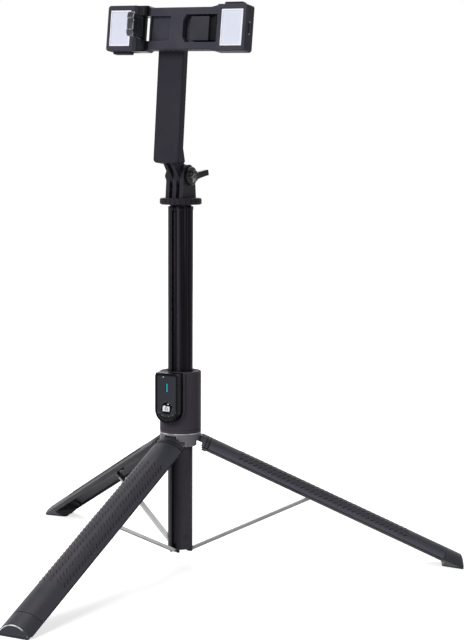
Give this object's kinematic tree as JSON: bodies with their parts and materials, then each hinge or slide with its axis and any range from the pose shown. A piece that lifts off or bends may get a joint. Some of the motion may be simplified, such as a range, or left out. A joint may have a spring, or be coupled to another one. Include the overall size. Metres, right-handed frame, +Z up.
{
  "type": "selfie stick tripod",
  "caption": "Telescopic stick whose handle opens into a table-top tripod, with a removable remote, a tilting arm, a spring phone clamp and a small lamp at each end.",
  "frame": {"origin": "on the column's axis, on the floor plane that the three feet stand on", "axes": "+Z up along the column, -Y towards the front leg and the phone's side, +X to the right lamp"},
  "size_m": [0.391, 0.3392, 0.4284],
  "materials": {
    "black_gloss": "glossy black",
    "black_satin": "fine satin black",
    "grey_satin": "grey satin",
    "lamp_white": "milky diffuser",
    "leg_dark": "dark satin with a row of slanted ribs",
    "pin_steel": "turned steel",
    "rubber_black": "fine matt rubber",
    "signal_teal": "clear tinted window",
    "stage_steel": "bright drawn tube",
    "steel": "drawn steel strip",
    "tube_black": "satin black anodised tube"
  },
  "bodies": {
    "hub": {"control_sleeve": "black_satin", "sleeve_bush": "black_satin", "leg_collar": "grey_satin", "leg_hinge_pins": "pin_steel"},
    "remote": {"remote_case": "black_gloss", "remote_face": "black_gloss", "signal_window": "signal_teal"},
    "shutter": {"shutter_button": "black_gloss"},
    "column": {"column_tube": "tube_black", "column_base": "black_satin", "strut_base_pins": "pin_steel", "column_cap": "black_satin"},
    "stage_1": {"stage_tube_1": "stage_steel"},
    "stage_2": {"stage_tube_2": "stage_steel"},
    "stage_3": {"stage_tube_3": "stage_steel"},
    "stage_4": {"stage_tube_4": "stage_steel", "head_neck": "black_satin"},
    "head": {"head_ring": "black_satin", "tilt_bolt": "pin_steel", "tilt_nut": "pin_steel"},
    "wing": {"wing_knob": "black_gloss"},
    "arm": {"tilt_arm": "black_satin"},
    "holder": {"turn_washer": "black_satin", "turn_screw": "pin_steel", "clamp_back_cover": "black_satin", "clamp_frame": "black_satin", "right_lamp_housing": "black_satin", "right_lamp_diffuser": "lamp_white", "right_jaw_pin": "pin_steel"},
    "right_switch": {"right_lamp_button": "black_satin"},
    "right_flap": {"right_jaw": "black_satin", "right_jaw_pad": "rubber_black"},
    "slider": {"clamp_slider": "black_satin", "slider_rods": "pin_steel", "left_lamp_housing": "black_satin", "left_lamp_diffuser": "lamp_white", "left_jaw_pin": "pin_steel"},
    "left_switch": {"left_lamp_button": "black_satin"},
    "left_flap": {"left_jaw": "black_satin", "left_jaw_pad": "rubber_black"},
    "leg_front": {"leg_root_front": "black_satin", "leg_shell_front": "leg_dark", "leg_foot_front": "black_satin", "leg_sole_front": "rubber_black"},
    "strut_front": {"strut_front": "steel", "strut_pin_front": "pin_steel"},
    "leg_right": {"leg_root_right": "black_satin", "leg_shell_right": "leg_dark", "leg_foot_right": "black_satin", "leg_sole_right": "rubber_black"},
    "strut_right": {"strut_right": "steel", "strut_pin_right": "pin_steel"},
    "leg_left": {"leg_root_left": "black_satin", "leg_shell_left": "leg_dark", "leg_foot_left": "black_satin", "leg_sole_left": "rubber_black"},
    "strut_left": {"strut_left": "steel", "strut_pin_left": "pin_steel"}
  },
  "joints": [
    {"name": "column_slide", "type": "slide", "parent": "hub", "child": "column", "axis": [0, 0, 1], "range_m": [-0.11765, 0]},
    {"name": "remote_pull", "type": "slide", "parent": "hub", "child": "remote", "axis": [0, -1, 0], "range_m": [0, 0.015]},
    {"name": "shutter_press", "type": "slide", "parent": "remote", "child": "shutter", "axis": [0, 1, 0], "range_m": [0, 0.0006], "stiffness_N_per_m": 1000, "springref_m": -0.0002},
    {"name": "stage_1_slide", "type": "slide", "parent": "column", "child": "stage_1", "axis": [0, 0, 1], "range_m": [0, 0.2]},
    {"name": "stage_2_slide", "type": "slide", "parent": "stage_1", "child": "stage_2", "axis": [0, 0, 1], "range_m": [0, 0.2]},
    {"name": "stage_3_slide", "type": "slide", "parent": "stage_2", "child": "stage_3", "axis": [0, 0, 1], "range_m": [0, 0.2]},
    {"name": "stage_4_slide", "type": "slide", "parent": "stage_3", "child": "stage_4", "axis": [0, 0, 1], "range_m": [0, 0.2]},
    {"name": "head_turn", "type": "hinge", "parent": "stage_4", "child": "head", "pos_m": [0, 0, 0.2799], "axis": [0, 0, 1], "continuous": true},
    {"name": "wing_turn", "type": "hinge", "parent": "head", "child": "wing", "pos_m": [0, 0, 0.3014], "axis": [1, 0, 0], "continuous": true},
    {"name": "arm_tilt", "type": "hinge", "parent": "head", "child": "arm", "pos_m": [0, 0, 0.3014], "axis": [1, 0, 0], "range_deg": [-90, 60]},
    {"name": "clamp_turn", "type": "hinge", "parent": "arm", "child": "holder", "pos_m": [0, -0.01432, 0.40937], "axis": [0, -0.9954, 0.0958], "continuous": true},
    {"name": "clamp_slide", "type": "slide", "parent": "holder", "child": "slider", "axis": [-0.9997, 0.0022, 0.0226], "range_m": [0, 0.03], "stiffness_N_per_m": 150, "springref_m": -0.02},
    {"name": "left_jaw_fold", "type": "hinge", "parent": "slider", "child": "left_flap", "pos_m": [-0.01759, -0.02503, 0.4108], "axis": [0.0227, 0.0958, 0.9951], "range_deg": [0, 90]},
    {"name": "right_jaw_fold", "type": "hinge", "parent": "holder", "child": "right_flap", "pos_m": [0.04159, -0.02088, 0.40905], "axis": [0.0227, 0.0958, 0.9951], "range_deg": [0, 90]},
    {"name": "left_lamp_press", "type": "slide", "parent": "slider", "child": "left_switch", "axis": [0.0227, 0.0958, 0.9951], "range_m": [0, 0.0008], "stiffness_N_per_m": 1500, "springref_m": -0.0003},
    {"name": "right_lamp_press", "type": "slide", "parent": "holder", "child": "right_switch", "axis": [-0.0227, -0.0958, -0.9951], "range_m": [0, 0.0008], "stiffness_N_per_m": 1500, "springref_m": -0.0003},
    {"name": "front_leg_fold", "type": "hinge", "parent": "hub", "child": "leg_front", "pos_m": [0, -0.012, 0.1022], "axis": [1, 0, 0], "range_deg": [0, 64.72]},
    {"name": "front_strut_fold", "type": "hinge", "parent": "leg_front", "child": "strut_front", "pos_m": [0, -0.10309, 0.05505], "axis": [1, 0, 0], "range_deg": [-131.35, 0]},
    {"name": "right_leg_fold", "type": "hinge", "parent": "hub", "child": "leg_right", "pos_m": [0.01039, 0.006, 0.1022], "axis": [-0.5, 0.866, 0], "range_deg": [0, 64.72]},
    {"name": "right_strut_fold", "type": "hinge", "parent": "leg_right", "child": "strut_right", "pos_m": [0.08928, 0.05154, 0.05505], "axis": [-0.5, 0.866, 0], "range_deg": [-131.35, 0]},
    {"name": "left_leg_fold", "type": "hinge", "parent": "hub", "child": "leg_left", "pos_m": [-0.01039, 0.006, 0.1022], "axis": [-0.5, -0.866, 0], "range_deg": [0, 64.72]},
    {"name": "left_strut_fold", "type": "hinge", "parent": "leg_left", "child": "strut_left", "pos_m": [-0.08928, 0.05154, 0.05505], "axis": [-0.5, -0.866, 0], "range_deg": [-131.35, 0]}
  ],
  "couplings": [
    {"joint": "front_leg_fold", "follows": "column_slide", "rad_per_m": -9.5978},
    {"joint": "front_strut_fold", "follows": "column_slide", "rad_per_m": 19.483},
    {"joint": "right_leg_fold", "follows": "column_slide", "rad_per_m": -9.5978},
    {"joint": "right_strut_fold", "follows": "column_slide", "rad_per_m": 19.483},
    {"joint": "left_leg_fold", "follows": "column_slide", "rad_per_m": -9.5978},
    {"joint": "left_strut_fold", "follows": "column_slide", "rad_per_m": 19.483}
  ]
}
